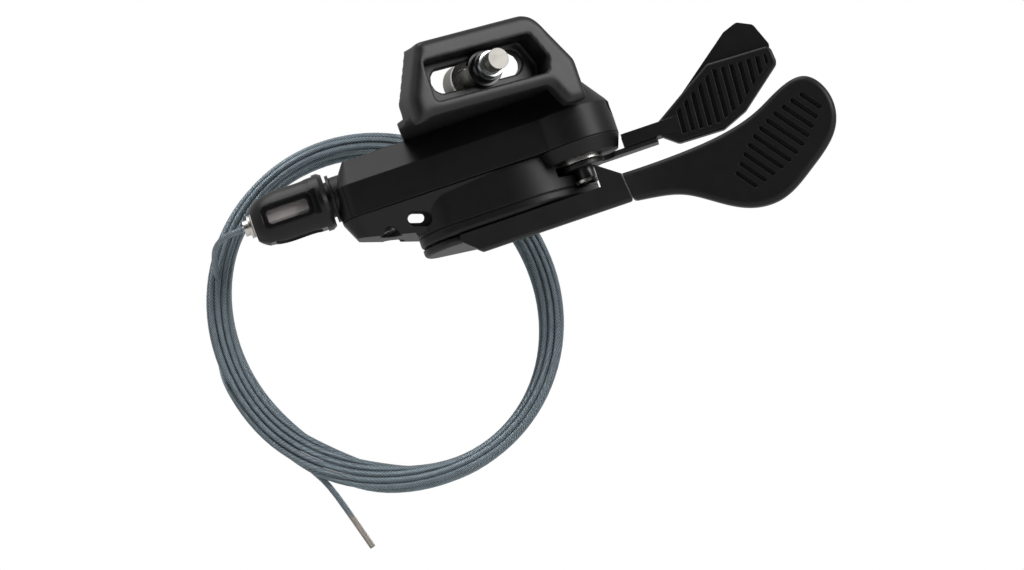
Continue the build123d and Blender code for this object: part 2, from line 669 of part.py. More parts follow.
with BuildPart() as hub_bush:
    ring(level(MAIN_PIVOT, HUB_BUSH_FOOT), HUB_TOP - HUB_BUSH_FOOT + 0.2, HUB_BUSH, AXLE_BORE)
keep(hub_bush.part, "hub_bush")

# The pad is a curved plate: a plan curve, cut to the outline that the rider sees

with BuildSketch() as pad_section:
    with BuildLine():
        pad_face = Spline(*PAD_CURVE)
        pad_back = Spline(*[(x, y + PAD_THICKNESS) for x, y in PAD_CURVE])
        Line(pad_face @ 0, pad_back @ 0)
        Line(pad_face @ 1, pad_back @ 1)
    make_face()

with BuildSketch() as pad_skin:
    with BuildLine():
        skin_front = Spline(*[(x, y - 2) for x, y in PAD_CURVE])
        skin_back = Spline(*[(x, y + RIB_DEPTH) for x, y in PAD_CURVE])
        Line(skin_front @ 0, skin_back @ 0)
        Line(skin_front @ 1, skin_back @ 1)
    make_face()

with BuildPart() as pad_grooves:
    with BuildSketch(rider_plane(0)):
        for place in range(PAD_GROOVES):
            share = place / (PAD_GROOVES - 1)
            centre = (
                PAD_PANEL_LOW[0] + share * (PAD_PANEL_HIGH[0] - PAD_PANEL_LOW[0]),
                PAD_PANEL_LOW[1] + share * (PAD_PANEL_HIGH[1] - PAD_PANEL_LOW[1]),
            )
            length = PAD_GROOVE_ENDS + PAD_GROOVE_SWELL * sin(pi * share)
            with Locations(Location((*centre, 0), (0, 0, PAD_GROOVE_SLANT))):
                SlotOverall(length, PAD_GROOVE_WIDTH)
    extrude(amount=MAIN_PIVOT[1], both=True)
    with BuildSketch(Plane.XY.offset(PAD_BOTTOM)):
        add(pad_skin.sketch)
    extrude(amount=PAD_REACH, mode=Mode.INTERSECT)

with BuildPart() as main_lever_pad:
    with BuildSketch(Plane.XY.offset(PAD_BOTTOM)):
        add(pad_section.sketch)
    extrude(amount=PAD_REACH)
    with BuildSketch(rider_plane(0)):
        with BuildLine():
            rim = Spline(*PAD_OUTLINE, tangents=[(1, 0.0), (-1, 0.12)])
            Line(rim @ 0, rim @ 1)
        make_face()
    extrude(amount=MAIN_PIVOT[1], both=True, mode=Mode.INTERSECT)
    fillet(main_lever_pad.edges().filter_by(lambda e: e.center().X > ARM_END + 0.6), radius=PAD_ROUND)
    add(pad_grooves.part, mode=Mode.SUBTRACT)
keep(main_lever_pad.part, "main_lever_pad")

with BuildPart() as feed_pin:
    ring(level(FEED_PIN, PLATE_TOP), PIN_TOP - PLATE_TOP, PIN_RADIUS)
    ring(level(FEED_PIN, BASE_TOP + 0.3), PAWL_BOTTOM - 0.05 - BASE_TOP - 0.3, PIN_RADIUS + 0.5)
keep(feed_pin.part, "feed_pin")

with BuildPart() as stop_pin:
    ring(level(STOP_PIN, BASE_BOTTOM), PIN_TOP - BASE_BOTTOM, PIN_RADIUS)
    ring(level(STOP_PIN, BASE_TOP), PAWL_BOTTOM - 0.05 - BASE_TOP, PIN_RADIUS + 0.5)
keep(stop_pin.part, "stop_pin")

for pawl_name, pin_angle in [("feed_pawl", FEED_PIN_ANGLE), ("stop_pawl", STOP_PIN_ANGLE)]:
    pin = around(MAIN_PIVOT, PAWL_CIRCLE, pin_angle)
    tip = around(MAIN_PIVOT, RATCHET_RADIUS + PAWL_TIP + SIDE_CLEARANCE, pin_angle + PAWL_REACH)
    with BuildPart() as pawl:
        with BuildSketch(Plane.XY.offset(PAWL_BOTTOM)):
            with Locations(pin):
                Circle(PAWL_HUB)
            with Locations(tip):
                Circle(PAWL_TIP)
            make_hull()
            with Locations(pin):
                Circle(PIN_RADIUS + RUNNING_CLEARANCE, mode=Mode.SUBTRACT)
        extrude(amount=RATCHET_THICKNESS)
    keep(pawl.part, pawl_name)
    with BuildPart() as pawl_spring:
        coil_spring(level(pin, RATCHET_TOP + 0.35), PIN_RADIUS + 0.5, 0.4, 2, 0.42)
    keep(pawl_spring.part, f"{pawl_name}_spring")

with BuildPart() as main_return_spring:
    coil_spring(level(MAIN_PIVOT, BASE_TOP + 0.55), 5.6, 0.9, 1, 1.0)
keep(main_return_spring.part, "main_return_spring")

with BuildPart() as axle_spacer:
    ring(level(MAIN_PIVOT, BASE_TOP), PAWL_BOTTOM - 0.05 - BASE_TOP, DRUM_HUB_RADIUS, AXLE_RADIUS)
keep(axle_spacer.part, "axle_spacer")

# Release lever: steel plate, and a moulded arm with a ribbed pad and a wing behind it

with BuildPart() as release_plate:
    with BuildSketch(level(TOWER_AXIS, RELEASE_PLATE_TOP)):
        Circle(RELEASE_HUB)
        with Locations((RELEASE_PLATE_REACH / 2, 0)):
            Rectangle(RELEASE_PLATE_REACH, RELEASE_ARM_WIDTH)
        with Locations(Location((0, 0, 0), (0, 0, TAIL_ANGLE))):
            SlotCenterToCenter(2 * (RELEASE_TAIL - 1.3), 2.6)
        with Locations(around((0, 0), RELEASE_TAIL, TAIL_ANGLE + 180)):
            Circle(2.2, mode=Mode.SUBTRACT)
        Circle(RELEASE_HUB)
        Circle(POST_RADIUS + RUNNING_CLEARANCE, mode=Mode.SUBTRACT)
    extrude(amount=-RELEASE_PLATE_THICKNESS)
keep(release_plate.part, "release_plate")

with BuildSketch() as release_skin:
    with BuildLine():
        thumb_front = Spline(*[(x, y - 2) for x, y in RELEASE_CURVE])
        thumb_skin = Spline(*[(x, y + RIB_DEPTH) for x, y in RELEASE_CURVE])
        Line(thumb_front @ 0, thumb_skin @ 0)
        Line(thumb_front @ 1, thumb_skin @ 1)
    make_face()

with BuildSketch() as thumb_section:
    with BuildLine():
        thumb_face = Spline(*RELEASE_CURVE)
        thumb_back = Spline(*[(x, y + RELEASE_THICKNESS) for x, y in RELEASE_CURVE])
        Line(thumb_face @ 0, thumb_back @ 0)
        Line(thumb_face @ 1, thumb_back @ 1)
    make_face()

with BuildSketch() as wing_section:
    with BuildLine():
        wing_face = Spline(*[(x, y + RELEASE_THICKNESS - 0.8) for x, y in RELEASE_CURVE])
        wing_back = Spline(*[(x, y + RELEASE_THICKNESS + WING_THICKNESS) for x, y in RELEASE_CURVE])
        Line(wing_face @ 0, wing_back @ 0)
        Line(wing_face @ 1, wing_back @ 1)
    make_face()

with BuildSketch() as thumb_outline:
    with BuildLine():
        Polyline(*RELEASE_OUTLINE, close=True)
    make_face()
    fillet(thumb_outline.vertices(), radius=1.4)

with BuildPart() as release_grooves:
    with BuildSketch(RELEASE_FACE):
        with Locations(Location((*RELEASE_PANEL, 0), (0, 0, RELEASE_GROOVE_LEAN))):
            with GridLocations(RELEASE_GROOVE_PITCH, 1, RELEASE_GROOVES, 1):
                SlotOverall(RELEASE_GROOVE_LENGTH, PAD_GROOVE_WIDTH, rotation=90)
        offset(thumb_outline.sketch, amount=-RELEASE_RIM, mode=Mode.INTERSECT)
    extrude(amount=MAIN_PIVOT[1], both=True)
    with BuildSketch(RELEASE_PLAN):
        add(release_skin.sketch)
    extrude(amount=RELEASE_BAND, mode=Mode.INTERSECT)

with BuildPart() as thumb_plate:
    with BuildSketch(RELEASE_PLAN):
        add(thumb_section.sketch)
    extrude(amount=RELEASE_BAND)
    with BuildSketch(RELEASE_FACE):
        add(thumb_outline.sketch)
    extrude(amount=MAIN_PIVOT[1], both=True, mode=Mode.INTERSECT)
    fillet(thumb_plate.faces().sort_by(Axis.Y)[0].outer_wire().edges(), radius=0.6)

with BuildPart() as wing_plate:
    with BuildSketch(RELEASE_PLAN):
        add(wing_section.sketch)
    extrude(amount=RELEASE_BAND)
    with BuildSketch(RELEASE_FACE):
        with BuildLine():
            Polyline(*WING_OUTLINE, close=True)
        wing_shape = make_face()
        fillet(wing_shape.vertices(), radius=1.2)
    extrude(amount=MAIN_PIVOT[1], both=True, mode=Mode.INTERSECT)

with BuildPart() as release_lever_pad:
    with BuildSketch(level(TOWER_AXIS, RELEASE_PLATE_TOP)):
        with Locations(((RELEASE_PLATE_REACH + RELEASE_ARM_LAP) / 2, 0)):
            Rectangle(RELEASE_PLATE_REACH + RELEASE_ARM_LAP, RELEASE_ARM_WIDTH + 2 * RELEASE_ARM_LIP)
    extrude(amount=RELEASE_ARM_HEIGHT)
    tower_room = TOWER_RADIUS + RELEASE_TOWER_GAP
    ring(level(TOWER_AXIS, RELEASE_PLATE_TOP), -RELEASE_PLATE_TOP, tower_room, mode=Mode.SUBTRACT)
    add(thumb_plate.part)
    add(wing_plate.part)
    add(release_grooves.part, mode=Mode.SUBTRACT)
keep(release_lever_pad.part, "release_lever_pad")

# Drum, ratchet wheel and the spiral spring that unwinds them

with BuildPart() as cable_drum:
    ring(level(MAIN_PIVOT, DRUM_BOTTOM), DRUM_HEIGHT, DRUM_FLANGE_RADIUS)
    ring(level(MAIN_PIVOT, PAWL_BOTTOM), DRUM_BOTTOM - PAWL_BOTTOM, DRUM_HUB_RADIUS)
    with BuildSketch(Plane(origin=(*MAIN_PIVOT, CABLE_Z), x_dir=(1, 0, 0), z_dir=(0, -1, 0))):
        with Locations((DRUM_GROOVE_RADIUS, 0)):
            Circle(CABLE_DIAMETER / 2 + DRUM_GROOVE_PLAY)
        with Locations((DRUM_FLANGE_RADIUS, 0)):
            Rectangle(2 * (DRUM_FLANGE_RADIUS - DRUM_GROOVE_RADIUS), CABLE_DIAMETER + 2 * DRUM_GROOVE_PLAY)
    revolve(axis=Axis((*MAIN_PIVOT, CABLE_Z), (0, 0, 1)), mode=Mode.SUBTRACT)
    ring(HEAD_PLANE, HEAD_LENGTH + 2 * DRUM_GROOVE_PLAY, HEAD_RADIUS + DRUM_GROOVE_PLAY, mode=Mode.SUBTRACT)
    with BuildSketch(HEAD_PLANE):
        with Locations((HEAD_RADIUS, 0)):
            Rectangle(2 * HEAD_RADIUS, 2 * (HEAD_RADIUS + DRUM_GROOVE_PLAY))
    extrude(amount=HEAD_LENGTH + 2 * DRUM_GROOVE_PLAY, mode=Mode.SUBTRACT)
    with BuildSketch(level(MAIN_PIVOT, DRUM_TOP)):
        with PolarLocations(DRUM_FLANGE_RADIUS * 0.58, 3, start_angle=60):
            Circle(2.0)
    extrude(amount=-1.6, mode=Mode.SUBTRACT)
    ring(level(MAIN_PIVOT, PAWL_BOTTOM), DRUM_TOP - PAWL_BOTTOM, AXLE_BORE, mode=Mode.SUBTRACT)
keep(cable_drum.part, "cable_drum")

with BuildPart() as ratchet_wheel:
    with BuildSketch(level(MAIN_PIVOT, PAWL_BOTTOM)):
        Circle(RATCHET_RADIUS)
        Circle(DRUM_HUB_RADIUS, mode=Mode.SUBTRACT)
        with PolarLocations(0, RATCHET_TEETH):
            with BuildLine():
                Polyline(
                    (RATCHET_ROOT, 0),
                    (RATCHET_RADIUS + 0.5, 0),
                    around((0, 0), RATCHET_RADIUS + 0.5, 0.86 * TOOTH_STEP),
                    around((0, 0), RATCHET_RADIUS, 0.86 * TOOTH_STEP),
                    close=True,
                )
            make_face(mode=Mode.SUBTRACT)
    extrude(amount=RATCHET_THICKNESS)
keep(ratchet_wheel.part, "ratchet_wheel")

with BuildPart() as drum_spring:
    with BuildSketch(level(MAIN_PIVOT, RATCHET_TOP + 0.4)):
        with BuildLine():
            inner = Spline(*spiral(SPIRAL_START))
            outer = Spline(*spiral(SPIRAL_START + SPIRAL_STRIP))
            Line(inner @ 0, outer @ 0)
            Line(inner @ 1, outer @ 1)
        make_face()
    extrude(amount=DRUM_BOTTOM - RATCHET_TOP - 0.8)
keep(drum_spring.part, "drum_spring")

with BuildPart() as cable_head:
    ring(HEAD_PLANE.offset(DRUM_GROOVE_PLAY), HEAD_LENGTH, HEAD_RADIUS)
    with BuildLine(level(MAIN_PIVOT, CABLE_Z)):
        wrap = CenterArc((0, 0), DRUM_GROOVE_RADIUS, WRAP_START, HEAD_ANGLE - WRAP_START - 8)
    with BuildSketch(Plane(origin=wrap @ 0, z_dir=wrap % 0)):
        Circle(CABLE_DIAMETER / 2)
    sweep(path=wrap)
keep(cable_head.part, "cable_head")

# Cable adjuster: bush in the case, metal barrel, and a knob that turns round it

with BuildPart() as adjuster_bush:
    ring(cable_plane(CASE_LEFT), BUSH_LENGTH, BUSH_OUTER, BARREL_RADIUS + RUNNING_CLEARANCE)
    ring(cable_plane(CASE_LEFT), -SPIGOT_LENGTH, BUSH_RADIUS, BARREL_RADIUS + RUNNING_CLEARANCE)
keep(adjuster_bush.part, "adjuster_bush")

with BuildPart() as click_washer:
    ring(cable_plane(CASE_LEFT), -WASHER_THICKNESS, KNOB_RADIUS - 1.0, BUSH_RADIUS)
keep(click_washer.part, "click_washer")

with BuildPart() as adjuster_barrel:
    ring(cable_plane(BARREL_LEFT), BARREL_RIGHT - BARREL_LEFT, BARREL_RADIUS, CABLE_BORE)
    chamfer(adjuster_barrel.edges().filter_by(GeomType.CIRCLE).group_by(Axis.X)[0], length=0.3)
keep(adjuster_barrel.part, "adjuster_barrel")

with BuildPart() as outlet_ferrule:
    ring(cable_plane(BARREL_LEFT), -FERRULE_FLANGE, BARREL_RADIUS - 0.1, CABLE_BORE)
    ring(cable_plane(BARREL_LEFT), -FERRULE_LENGTH, FERRULE_RADIUS, CABLE_BORE)
keep(outlet_ferrule.part, "outlet_ferrule")

with BuildPart() as adjuster_knob:
    with BuildSketch(Plane(origin=(0, CABLE_Y, CABLE_Z), x_dir=(1, 0, 0), z_dir=(0, -1, 0))):
        with BuildLine():
            Polyline(
                (KNOB_RIGHT, 0),
                (KNOB_RIGHT, KNOB_RADIUS - 0.5),
                (KNOB_RIGHT - 0.8, KNOB_RADIUS),
                (KNOB_RIGHT - 2.6, KNOB_RADIUS),
            )
            Spline(
                (KNOB_RIGHT - 2.6, KNOB_RADIUS),
                (KNOB_LEFT + 5.4, KNOB_RADIUS - 0.25),
                (KNOB_LEFT + 1.6, KNOB_RADIUS - 1.2),
                (KNOB_LEFT, KNOB_RADIUS - 2.5),
            )
            Polyline((KNOB_LEFT, KNOB_RADIUS - 2.5), (KNOB_LEFT, 0), (KNOB_RIGHT, 0))
        make_face()
    revolve(axis=Axis((0, CABLE_Y, CABLE_Z), (1, 0, 0)))
    ring(cable_plane(KNOB_LEFT), KNOB_LENGTH, BARREL_RADIUS + SIDE_CLEARANCE, mode=Mode.SUBTRACT)
    ring(cable_plane(KNOB_RIGHT), -SPIGOT_ROOM, BUSH_RADIUS + RUNNING_CLEARANCE, mode=Mode.SUBTRACT)
    ring(cable_plane(WINDOW_LEFT), WINDOW_LENGTH, CAGE_RADIUS, mode=Mode.SUBTRACT)
    for turn in range(KNOB_WINDOWS):
        side = radians(360 / KNOB_WINDOWS * turn + 180)
        window_plane = Plane(
            origin=(WINDOW_LEFT + WINDOW_LENGTH / 2, CABLE_Y, CABLE_Z),
            x_dir=(1, 0, 0),
            z_dir=(0, cos(side), sin(side)),
        )
        with BuildSketch(window_plane.offset(KNOB_FLAT)):
            Rectangle(WINDOW_LENGTH + 4 * PANEL_RIM, 2 * KNOB_RADIUS)
        extrude(amount=KNOB_RADIUS, mode=Mode.SUBTRACT)
        with BuildSketch(window_plane.offset(KNOB_FLAT - PANEL_DEPTH)):
            RectangleRounded(WINDOW_LENGTH + 2 * PANEL_RIM, WINDOW_WIDTH + 1.7 * PANEL_RIM, 1.2)
        extrude(amount=2, mode=Mode.SUBTRACT)
        with BuildSketch(window_plane):
            RectangleRounded(WINDOW_LENGTH, WINDOW_WIDTH, 0.7)
        extrude(amount=KNOB_RADIUS + 1, mode=Mode.SUBTRACT)
keep(adjuster_knob.part, "adjuster_knob")

with BuildPart() as port_plug:
    ring(cable_plane(PORT_FACE - PORT_DEPTH), PORT_DEPTH, PORT_RADIUS)
    with BuildSketch(cable_plane(PORT_FACE)):
        Rectangle(0.6, 2.6)
    extrude(amount=-0.7, mode=Mode.SUBTRACT)
keep(port_plug.part, "port_plug")

with BuildPart() as case_screws:
    for x, y in CASE_SCREWS:
        screw_length = SEAM_Z + SCREW_BITE - SCREW_END_ROOM - SCREW_HEAD_Z
        ring(Plane(origin=(x, y, SCREW_HEAD_Z)), screw_length, SCREW_RADIUS)
        ring(Plane(origin=(x, y, SCREW_HEAD_Z)), -CASE_SCREW_HEAD, SCREW_HEAD - SCREW_HEAD_PLAY)
        with BuildSketch(Plane(origin=(x, y, SCREW_HEAD_Z - CASE_SCREW_HEAD))):
            RegularPolygon(radius=CASE_SCREW_SOCKET, side_count=6)
        extrude(amount=SCREW_SOCKET_DEPTH, mode=Mode.SUBTRACT)
keep(case_screws.part, "case_screws")

# Bracket: a deep frame round a slot plate, a lobe at its lever end and a foot on the case

with BuildPart() as mount_bracket:
    with BuildSketch(bracket_plane(SEAT_STEP)) as ring_shape:
        with BuildLine():
            Polyline(*RING_OUTLINE, close=True)
        make_face()
        shoulder = bracket_plane(SEAT_STEP).from_local_coords(Vector(*RING_SHOULDER))
        corners = ring_shape.vertices().sort_by_distance(shoulder)
        fillet(corners[0], radius=RING_SHOULDER_ROUND)
        fillet(corners[1:], radius=RING_ROUND)
    extrude(amount=RING_DEPTH - SEAT_STEP)
    front_face = mount_bracket.faces().sort_by(Axis((0, 0, 0), tuple(bracket_plane(0).z_dir)))[-1]
    fillet(front_face.edges(), radius=RING_EDGE)
    with BuildSketch(bracket_plane(RING_DEPTH)) as window_shape:
        with BuildLine():
            Polyline(*WINDOW_OUTLINE, close=True)
        make_face()
        fillet(window_shape.vertices(), radius=WINDOW_ROUND)
    extrude(amount=SLOT_PLATE - RING_DEPTH, mode=Mode.SUBTRACT)
    with BuildSketch(bracket_plane(SEAT_STEP)):
        with Locations((0, LOBE_TOP - 5)):
            Rectangle(60, 10)
    extrude(amount=LOBE_BACK - SEAT_STEP, mode=Mode.SUBTRACT)
    with BuildSketch(bracket_plane(0)):
        RectangleRounded(SEAT_LENGTH, SEAT_HEIGHT, 1.5)
    extrude(amount=SLOT_PLATE)
    with BuildSketch(bracket_plane(-1)):
        SlotOverall(SLOT_LENGTH, SLOT_HEIGHT)
    extrude(amount=RING_DEPTH, mode=Mode.SUBTRACT)
    with BuildSketch(Plane.XY.offset(FOOT_TOP)):
        with BuildLine():
            Polyline(*FOOT_PLAN, close=True)
        make_face()
    extrude(amount=CASE_TOP - FOOT_TOP)
    for x, y in BRACKET_SCREWS:
        ring(Plane(origin=(x, y, FOOT_TOP)), CASE_TOP - FOOT_TOP, SCREW_RADIUS, mode=Mode.SUBTRACT)
keep(mount_bracket.part, "mount_bracket")

with BuildPart() as bracket_screws:
    for x, y in BRACKET_SCREWS:
        ring(Plane(origin=(x, y, FOOT_TOP)), CASE_TOP - FOOT_TOP - SCREW_BITE + SCREW_END_ROOM, SCREW_RADIUS)
        ring(Plane(origin=(x, y, FOOT_TOP)), BRACKET_SCREW_HEAD, SCREW_HEAD)
        with BuildSketch(Plane(origin=(x, y, FOOT_TOP + BRACKET_SCREW_HEAD))):
            RegularPolygon(radius=BRACKET_SCREW_SOCKET, side_count=6)
        extrude(amount=-SCREW_SOCKET_DEPTH, mode=Mode.SUBTRACT)
keep(bracket_screws.part, "bracket_screws")

# Clamp bolt in the slot, with its nut, ring and washer

with BuildPart() as clamp_bolt:
    ring(bracket_plane(BOLT_HEAD_FACE, BOLT_PLACE), TIP_END - BOLT_HEAD_FACE, BOLT_RADIUS)
    neck_plane = bracket_plane(NECK_START, BOLT_PLACE)
    ring(neck_plane, NECK_LENGTH, BOLT_RADIUS, BOLT_RADIUS - NECK_DEPTH, mode=Mode.SUBTRACT)
    ring(bracket_plane(BOLT_HEAD_FACE, BOLT_PLACE), -BOLT_HEAD_HEIGHT, BOLT_HEAD_RADIUS)
    with BuildSketch(bracket_plane(BOLT_HEAD_FACE - BOLT_HEAD_HEIGHT, BOLT_PLACE)):
        RegularPolygon(radius=BOLT_SOCKET, side_count=6)
    extrude(amount=BOLT_SOCKET_DEPTH, mode=Mode.SUBTRACT)
keep(clamp_bolt.part, "clamp_bolt")

with BuildPart() as bolt_washer:
    ring(bracket_plane(BOLT_HEAD_FACE, BOLT_PLACE), BOLT_WASHER, BOLT_HEAD_RADIUS, BOLT_RADIUS)
keep(bolt_washer.part, "bolt_washer")

with BuildPart() as bolt_nut:
    ring(bracket_plane(NUT_FACE, BOLT_PLACE), NUT_FLANGE, NUT_FLANGE_RADIUS, BOLT_RADIUS)
    ring(bracket_plane(NUT_BODY_FACE, BOLT_PLACE), NUT_BODY, NUT_BODY_RADIUS, BOLT_RADIUS)
keep(bolt_nut.part, "bolt_nut")

with BuildPart() as bolt_ring:
    ring(bracket_plane(NUT_BODY_FACE + NUT_BODY, BOLT_PLACE), NUT_RING, NUT_RING_RADIUS, BOLT_RADIUS)
keep(bolt_ring.part, "bolt_ring")

# Inner cable: the straight run inside, a lead, a coil of nine turns and the tail

with BuildPart() as cable_inner_run:
    ring(cable_plane(CABLE_EXIT), -CABLE_EXIT, CABLE_DIAMETER / 2)
keep(cable_inner_run.part, "cable_inner_run")

COIL_PLANE = Plane(
    origin=COIL_CENTRE,
    x_dir=(cos(COIL_TURN), sin(COIL_TURN), 0),
    z_dir=(sin(COIL_TURN), -cos(COIL_TURN), 0),
)

with BuildPart() as cable_coil:
    with BuildSketch(Plane(origin=COIL_PLANE.origin, x_dir=COIL_PLANE.x_dir, z_dir=(0, 0, 1))):
        with Locations((COIL_RADIUS, 0)):
            Circle(COIL_BUNDLE)
    revolve(axis=Axis(COIL_CENTRE, tuple(COIL_PLANE.z_dir)))
keep(cable_coil.part, "cable_coil")

for cord_name, route in [("cable_lead", LEAD_ROUTE), ("cable_tail", TAIL_ROUTE)]:
    points = [Vector(*place) for place in route]
    bends = []
    for before, corner, after in zip(points, points[1:], points[2:]):
        shorter = min((corner - before).length, (after - corner).length)
        turn = radians((corner - before).get_angle(after - corner))
        bends.append(BEND_SHARE * shorter / tan(turn / 2))
    with BuildPart() as cord:
        with BuildLine() as cord_path:
            route_line = FilletPolyline(*points, radius=bends)
        with BuildSketch(Plane(origin=points[0], z_dir=points[1] - points[0])):
            Circle(CABLE_DIAMETER / 2)
        sweep(path=route_line)
    length = route_line.length
    section = pi * CABLE_DIAMETER**2 / 4
    print(cord_name, "radii", [round(bend, 1) for bend in bends], "length", round(length, 1))
    print(cord_name, "volume", round(cord.part.volume, 2), "section x length", round(section * length, 2))
    keep(cord.part, cord_name)
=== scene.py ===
"""A trigger gear shifter with its inner cable, dressed for a studio picture.

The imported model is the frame: its solids keep their places and get their finishes here.
The free part of the cable is modelled strand by strand, and the bracket gets a soft outside.
Lengths are in metres, and MM turns a size in millimetres into one.
"""
from __future__ import annotations

import logging
from dataclasses import dataclass
from enum import Enum
from math import cos, pi, radians, sin, sqrt

import bpy
from mathutils import Matrix, Vector


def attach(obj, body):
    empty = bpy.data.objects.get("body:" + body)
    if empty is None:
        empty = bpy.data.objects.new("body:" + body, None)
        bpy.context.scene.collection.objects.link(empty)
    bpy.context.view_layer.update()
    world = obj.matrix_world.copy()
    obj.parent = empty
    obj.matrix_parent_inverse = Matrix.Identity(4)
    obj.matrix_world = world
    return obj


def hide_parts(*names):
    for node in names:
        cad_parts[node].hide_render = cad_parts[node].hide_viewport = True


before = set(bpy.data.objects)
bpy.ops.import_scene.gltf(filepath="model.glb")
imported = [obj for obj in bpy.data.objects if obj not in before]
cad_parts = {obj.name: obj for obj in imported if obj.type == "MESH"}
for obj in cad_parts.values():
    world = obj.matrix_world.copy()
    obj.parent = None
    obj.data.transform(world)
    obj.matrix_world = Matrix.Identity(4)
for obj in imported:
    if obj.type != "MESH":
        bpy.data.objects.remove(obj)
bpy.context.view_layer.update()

MM = 0.001
NOISE_ROUGHNESS = 0.6
EDGE_SAMPLES = 6
log = logging.getLogger("shifter")

Colour = tuple[float, float, float, float]


class Surface(Enum):
    """The finishes that the pieces of the shifter have."""

    CASE = "case"
    LEVER_PAD = "lever pad"
    COATED_METAL = "coated metal"
    KNOB = "knob"
    BLACK_STEEL = "black steel"
    BRIGHT_STEEL = "bright steel"
    ZINC = "zinc"
    BOLT = "bolt"
    BARREL = "barrel"
    SPRING = "spring"
    DRUM = "drum"


def ramp(value: float, low: float, high: float) -> float:
    """Return where a value lies in a range.

    Args:
        value: the value.
        low: where the range starts.
        high: where it ends.

    Returns:
        0 below the range, 1 above it and a straight line between.
    """
    return min(1.0, max(0.0, (value - low) / (high - low)))


# Shader expressions


class Signal:
    """A node's output in a shader expression, which adds Math nodes as it is written."""

    def __init__(self, bench: NodeBench, socket: bpy.types.NodeSocket) -> None:
        """Wrap a socket.

        Args:
            bench: the maker of the material's nodes.
            socket: the output that this value stands for.
        """
        self.bench = bench
        self.socket = socket

    def _math(self, operation: str, first: Signal | float, second: Signal | float | None = None) -> Signal:
        """Add one Math node.

        Args:
            operation: the node's operation.
            first: its first value.
            second: its second value, where the operation has one.

        Returns:
            The node's output.
        """
        values = {0: first} if second is None else {0: first, 1: second}
        return self.bench.add("ShaderNodeMath", {"operation": operation}, values).out("Value")

    def __add__(self, other: Signal | float) -> Signal:
        """Return the sum."""
        return self._math("ADD", self, other)

    def __sub__(self, other: Signal | float) -> Signal:
        """Return the difference."""
        return self._math("SUBTRACT", self, other)

    def __rsub__(self, other: Signal | float) -> Signal:
        """Return the difference the other way."""
        return self._math("SUBTRACT", other, self)

    def __mul__(self, other: Signal | float) -> Signal:
        """Return the product."""
        return self._math("MULTIPLY", self, other)

    def sine(self) -> Signal:
        """Return the sine."""
        return self._math("SINE", self)

    def power(self, exponent: float) -> Signal:
        """Return the value raised to an exponent."""
        return self._math("POWER", self, exponent)


class Made:
    """A node that a bench has added."""

    def __init__(self, bench: NodeBench, node: bpy.types.Node) -> None:
        """Keep the node with its bench.

        Args:
            bench: the maker of the material's nodes.
            node: the node.
        """
        self.bench = bench
        self.node = node

    def out(self, name: str | int) -> Signal:
        """Return one of the node's outputs."""
        return Signal(self.bench, self.node.outputs[name])


class NodeBench:
    """Makes the nodes of one material."""

    def __init__(self, material: bpy.types.Material) -> None:
        """Clear a material's tree.

        Args:
            material: the material to work on.
        """
        material.use_nodes = True
        self.tree = material.node_tree
        self.tree.nodes.clear()

    def add(
        self, kind: str, settings: dict[str, object] | None = None, sockets: dict | None = None
    ) -> Made:
        """Add a node.

        Args:
            kind: the node's type.
            settings: its own settings, set first.
            sockets: values or links for its inputs, by name or number.

        Returns:
            The node, ready to be read from.
        """
        node = self.tree.nodes.new(kind)
        for name, value in (settings or {}).items():
            setattr(node, name, value)
        for name, value in (sockets or {}).items():
            if isinstance(value, Signal):
                self.tree.links.new(value.socket, node.inputs[name])
            else:
                node.inputs[name].default_value = value
        return Made(self, node)

    def place(self) -> Signal:
        """Return a point's place on the object, in metres."""
        return self.add("ShaderNodeTexCoord").out("Object")

    def noise(
        self, size: float, detail: float = 3.0, stretch: tuple[float, float, float] = (1, 1, 1)
    ) -> Signal:
        """Return a soft noise.

        Args:
            size: the size of its patches, in metres.
            detail: how many finer layers it has.
            stretch: how much finer it is along each axis.

        Returns:
            The noise, from 0 to 1.
        """
        scaled = self.add("ShaderNodeMapping", {}, {"Vector": self.place(), "Scale": stretch})
        sockets = {
            "Vector": scaled.out("Vector"),
            "Scale": 1 / size,
            "Detail": detail,
            "Roughness": NOISE_ROUGHNESS,
        }
        return self.add("ShaderNodeTexNoise", {}, sockets).out("Fac")

    def mix(self, share: Signal, low: Colour | Signal, high: Colour | Signal) -> Signal:
        """Return a mix of two colours.

        Args:
            share: how much of the second colour there is.
            low: the first colour.
            high: the second colour.

        Returns:
            The mixed colour.
        """
        settings = {"data_type": "RGBA", "clamp_factor": True}
        mixed = self.add("ShaderNodeMix", settings, {0: share, 6: low, 7: high})
        return mixed.out(2)

    def spread(self, value: Signal, low: float, high: float) -> Signal:
        """Stretch a value from 0..1 to a range.

        Args:
            value: the value.
            low: what 0 becomes.
            high: what 1 becomes.

        Returns:
            The stretched value.
        """
        return value * (high - low) + low

    def bump(self, height: Signal, depth: float, strength: float = 1.0, edge: float = 0.0) -> Signal:
        """Return a surface normal for a height.

        Args:
            height: the height, from 0 to 1.
            depth: what 1 stands for, in metres.
            strength: how much of it shows.
            edge: the radius that sharp edges look rounded to, in metres.

        Returns:
            The normal.
        """
        sockets = {"Height": height, "Distance": depth, "Strength": strength}
        if edge:
            rounded = self.add("ShaderNodeBevel", {"samples": EDGE_SAMPLES}, {"Radius": edge})
            sockets["Normal"] = rounded.out("Normal")
        return self.add("ShaderNodeBump", {}, sockets).out("Normal")

    def finish(self, sockets: dict) -> None:
        """Add the shader and the output.

        Args:
            sockets: values or links for the shader's inputs.
        """
        shader = self.add("ShaderNodeBsdfPrincipled", {}, sockets)
        self.add("ShaderNodeOutputMaterial", {}, {"Surface": shader.out("BSDF")})


# Finishes


